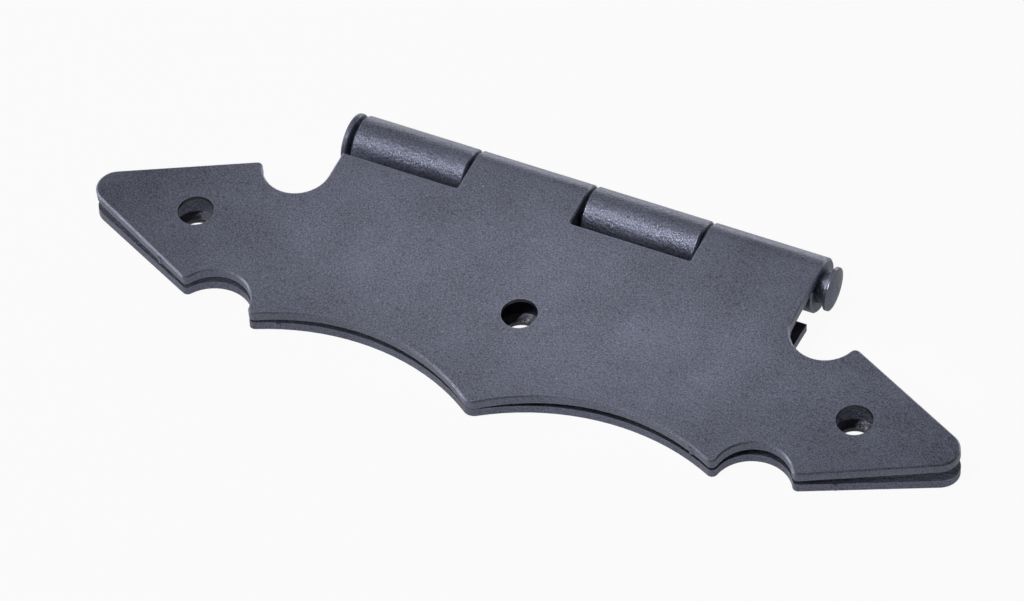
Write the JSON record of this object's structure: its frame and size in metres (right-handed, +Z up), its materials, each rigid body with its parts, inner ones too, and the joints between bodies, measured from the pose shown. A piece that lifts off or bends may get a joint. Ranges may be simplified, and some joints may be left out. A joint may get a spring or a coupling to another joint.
{
  "type": "decorative butt hinge",
  "caption": "Stamped sheet-steel hinge with winged, scalloped leaves, round screw holes and a rolled barrel on a riveted pin.",
  "frame": {"origin": "centre of the lower leaf's middle screw hole, on the leaf's outer face, which lies on the table", "axes": "+X along the pin towards its peened head, +Y from the screw holes towards the pin, +Z up from the lower leaf's outer face"},
  "size_m": [0.1306, 0.0433, 0.008],
  "materials": {
    "leaf_finish": "satin graphite black powder coat",
    "pin_finish": "satin graphite black powder coat"
  },
  "bodies": {
    "lower_leaf": {"lower_leaf": "leaf_finish"},
    "upper_leaf": {"upper_leaf": "leaf_finish"},
    "hinge_pin": {"hinge_pin": "pin_finish"}
  },
  "joints": [
    {"name": "leaf_swing", "type": "hinge", "parent": "lower_leaf", "child": "upper_leaf", "pos_m": [0, 0.0226, 0.004], "axis": [-1, 0, 0], "range_deg": [0, 292]},
    {"name": "pin_spin", "type": "hinge", "parent": "lower_leaf", "child": "hinge_pin", "pos_m": [0, 0.0226, 0.004], "axis": [1, 0, 0], "continuous": true}
  ]
}
